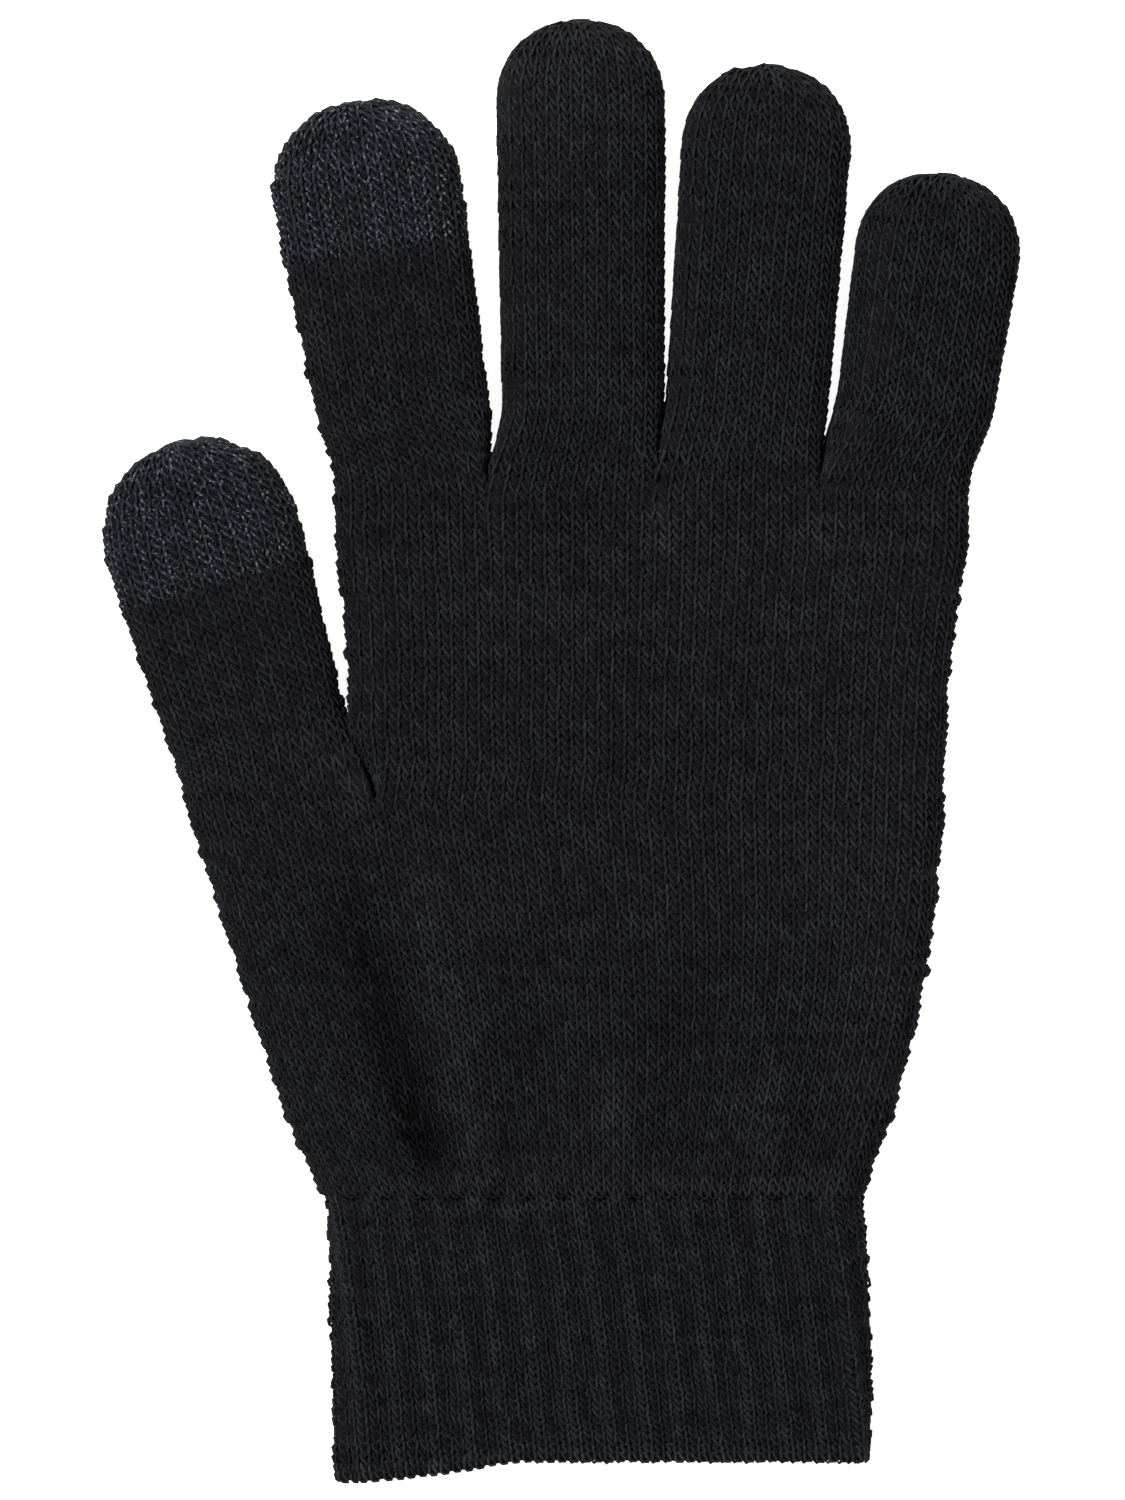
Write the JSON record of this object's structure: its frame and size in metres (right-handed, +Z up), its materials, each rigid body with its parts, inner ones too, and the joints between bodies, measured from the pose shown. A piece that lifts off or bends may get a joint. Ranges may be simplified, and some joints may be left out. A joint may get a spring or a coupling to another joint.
{
  "type": "touchscreen glove",
  "caption": "Seamless knitted glove with conductive thumb and index tips and a ribbed elastic cuff; every finger and the wrist bend.",
  "frame": {"origin": "centre of the glove's footprint, on the surface that it lies on", "axes": "+Z up out of the palm, +Y along the fingers towards the tips, +X towards the little finger"},
  "size_m": [0.1353, 0.215, 0.013],
  "materials": {
    "main_yarn": "matt jersey knit of brushed acrylic yarn",
    "rib_yarn": "matt mock rib of the same acrylic yarn",
    "touch_yarn": "matt jersey knit of acrylic yarn plied with grey conductive fibre",
    "hem_thread": "matt overlock thread",
    "elastic_thread": "matt covered elastic"
  },
  "bodies": {
    "hand": {"palm_lower": "main_yarn", "palm_upper": "main_yarn", "wrist_fold": "main_yarn", "thumb_root": "main_yarn", "thumb_knuckle_fold": "main_yarn", "index_root": "main_yarn", "index_knuckle_fold": "main_yarn", "middle_root": "main_yarn", "middle_knuckle_fold": "main_yarn", "ring_root": "main_yarn", "ring_knuckle_fold": "main_yarn", "little_root": "main_yarn", "little_knuckle_fold": "main_yarn"},
    "cuff": {"cuff": "rib_yarn", "cuff_hem": "hem_thread", "cuff_elastic": "elastic_thread"},
    "thumb_lower": {"thumb_lower": "main_yarn", "thumb_middle_fold": "main_yarn"},
    "thumb_upper": {"thumb_upper": "main_yarn", "thumb_touch_tip": "touch_yarn", "thumb_closing_yarn": "touch_yarn"},
    "index_lower": {"index_lower": "main_yarn", "index_middle_fold": "main_yarn"},
    "index_upper": {"index_upper": "main_yarn", "index_touch_tip": "touch_yarn", "index_closing_yarn": "touch_yarn"},
    "middle_lower": {"middle_lower": "main_yarn", "middle_middle_fold": "main_yarn"},
    "middle_upper": {"middle_upper": "main_yarn", "middle_closing_yarn": "main_yarn"},
    "ring_lower": {"ring_lower": "main_yarn", "ring_middle_fold": "main_yarn"},
    "ring_upper": {"ring_upper": "main_yarn", "ring_closing_yarn": "main_yarn"},
    "little_lower": {"little_lower": "main_yarn", "little_middle_fold": "main_yarn"},
    "little_upper": {"little_upper": "main_yarn", "little_closing_yarn": "main_yarn"}
  },
  "joints": [
    {"name": "wrist_bend", "type": "hinge", "parent": "hand", "child": "cuff", "pos_m": [0.005, -0.0615, 0.006], "axis": [-1, 0, 0], "range_deg": [0, 60], "deforming": ["wrist_fold"]},
    {"name": "thumb_knuckle", "type": "hinge", "parent": "hand", "child": "thumb_lower", "pos_m": [-0.04484, 0.00166, 0.0053], "axis": [0.9659, 0.2588, 0], "range_deg": [0, 50], "deforming": ["thumb_knuckle_fold"]},
    {"name": "thumb_middle", "type": "hinge", "parent": "thumb_lower", "child": "thumb_upper", "pos_m": [-0.04846, 0.01518, 0.0053], "axis": [0.9659, 0.2588, 0], "range_deg": [0, 70], "deforming": ["thumb_middle_fold"]},
    {"name": "index_knuckle", "type": "hinge", "parent": "hand", "child": "index_lower", "pos_m": [-0.0234, 0.043, 0.0053], "axis": [1, 0, 0], "range_deg": [0, 80], "deforming": ["index_knuckle_fold"]},
    {"name": "index_middle", "type": "hinge", "parent": "index_lower", "child": "index_upper", "pos_m": [-0.0234, 0.0605, 0.0053], "axis": [1, 0, 0], "range_deg": [0, 85], "deforming": ["index_middle_fold"]},
    {"name": "middle_knuckle", "type": "hinge", "parent": "hand", "child": "middle_lower", "pos_m": [0.0024, 0.043, 0.0053], "axis": [1, 0, 0], "range_deg": [0, 80], "deforming": ["middle_knuckle_fold"]},
    {"name": "middle_middle", "type": "hinge", "parent": "middle_lower", "child": "middle_upper", "pos_m": [0.0024, 0.0675, 0.0053], "axis": [1, 0, 0], "range_deg": [0, 85], "deforming": ["middle_middle_fold"]},
    {"name": "ring_knuckle", "type": "hinge", "parent": "hand", "child": "ring_lower", "pos_m": [0.0262, 0.043, 0.0053], "axis": [1, 0, 0], "range_deg": [0, 80], "deforming": ["ring_knuckle_fold"]},
    {"name": "ring_middle", "type": "hinge", "parent": "ring_lower", "child": "ring_upper", "pos_m": [0.0262, 0.0645, 0.0053], "axis": [1, 0, 0], "range_deg": [0, 85], "deforming": ["ring_middle_fold"]},
    {"name": "little_knuckle", "type": "hinge", "parent": "hand", "child": "little_lower", "pos_m": [0.0506, 0.0427, 0.0053], "axis": [1, 0, 0], "range_deg": [0, 80], "deforming": ["little_knuckle_fold"]},
    {"name": "little_middle", "type": "hinge", "parent": "little_lower", "child": "little_upper", "pos_m": [0.0506, 0.059, 0.0053], "axis": [1, 0, 0], "range_deg": [0, 85], "deforming": ["little_middle_fold"]}
  ]
}
